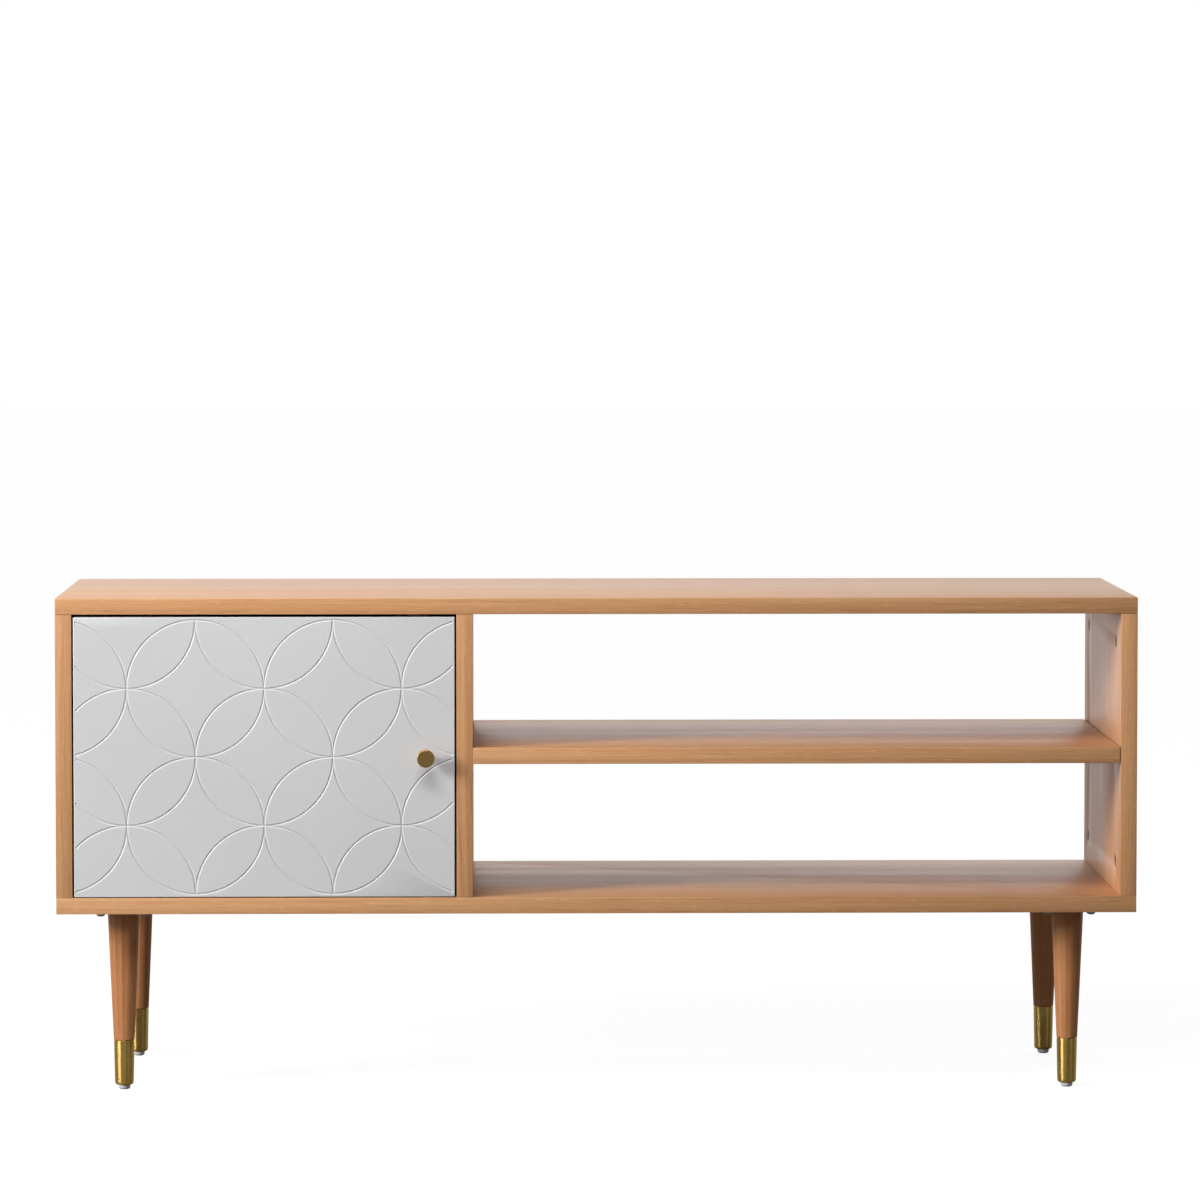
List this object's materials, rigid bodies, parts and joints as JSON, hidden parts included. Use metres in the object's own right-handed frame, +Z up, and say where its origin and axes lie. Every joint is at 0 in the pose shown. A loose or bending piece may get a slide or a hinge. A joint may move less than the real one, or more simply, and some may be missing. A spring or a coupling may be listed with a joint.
{
  "type": "tv stand",
  "caption": "Low tv stand on four tapered legs, with an open bay and shelf beside a cupboard with one grooved inset door.",
  "frame": {"origin": "on the floor, at the middle of the stand's width and of its depth, knob included", "axes": "+X to the viewer's right along the length, -Y out of the front, +Z up"},
  "size_m": [1.2, 0.425, 0.5541],
  "materials": {
    "oak": "satin oak-grain foil",
    "leg_wood": "satin lacquer",
    "paint": "satin light grey paint",
    "back_board": "matt hardboard",
    "brass": "polished",
    "steel": "nickel plated",
    "dark_steel": "dark zinc",
    "glide": "matt",
    "plastic": "matt"
  },
  "bodies": {
    "carcass": {"top_panel": "oak", "bottom_panel": "oak", "left_side_panel": "oak", "right_side_panel": "oak", "centre_divider": "oak", "open_shelf": "oak", "cupboard_back_panel": "back_board", "front_left_leg": "leg_wood", "front_left_ferrule": "brass", "front_left_glide": "glide", "front_left_leg_plate": "steel", "front_left_hanger_bolt": "steel", "front_right_leg": "leg_wood", "front_right_ferrule": "brass", "front_right_glide": "glide", "front_right_leg_plate": "steel", "front_right_hanger_bolt": "steel", "rear_left_leg": "leg_wood", "rear_left_ferrule": "brass", "rear_left_glide": "glide", "rear_left_leg_plate": "steel", "rear_left_hanger_bolt": "steel", "rear_right_leg": "leg_wood", "rear_right_ferrule": "brass", "rear_right_glide": "glide", "rear_right_leg_plate": "steel", "rear_right_hanger_bolt": "steel", "cam_lock_front_lower": "dark_steel", "cam_lock_front_upper": "dark_steel", "shelf_pin_front_left": "steel", "shelf_pin_front_right": "steel", "cam_lock_rear_lower": "dark_steel", "cam_lock_rear_upper": "dark_steel", "shelf_pin_rear_left": "steel", "shelf_pin_rear_right": "steel", "lower_hinge_arm_pin": "steel", "lower_hinge_arm": "steel", "lower_hinge_plate": "steel", "lower_hinge_plate_screw_lower": "steel", "lower_hinge_plate_screw_upper": "steel", "upper_hinge_arm_pin": "steel", "upper_hinge_arm": "steel", "upper_hinge_plate": "steel", "upper_hinge_plate_screw_lower": "steel", "upper_hinge_plate_screw_upper": "steel", "magnetic_catch": "plastic"},
    "door": {"door_panel": "paint", "door_knob": "brass", "knob_screw": "steel", "catch_strike": "steel", "lower_hinge_cup": "steel", "lower_hinge_cup_pin": "steel", "lower_hinge_cup_screw_lower": "steel", "lower_hinge_cup_screw_upper": "steel", "upper_hinge_cup": "steel", "upper_hinge_cup_pin": "steel", "upper_hinge_cup_screw_lower": "steel", "upper_hinge_cup_screw_upper": "steel"},
    "hinge_links": {"lower_hinge_link": "steel", "upper_hinge_link": "steel"}
  },
  "joints": [
    {"name": "door_swing", "type": "hinge", "parent": "carcass", "child": "door", "pos_m": [-0.5715, -0.1825, 0.3776], "axis": [0, 0, -1], "range_deg": [0, 95]},
    {"name": "link_swing", "type": "hinge", "parent": "door", "child": "hinge_links", "pos_m": [-0.57, -0.1767, 0.3776], "axis": [0, 0, 1], "range_deg": [0, 118]}
  ],
  "couplings": [
    {"joint": "link_swing", "follows": "door_swing", "ratio": 1.24}
  ]
}
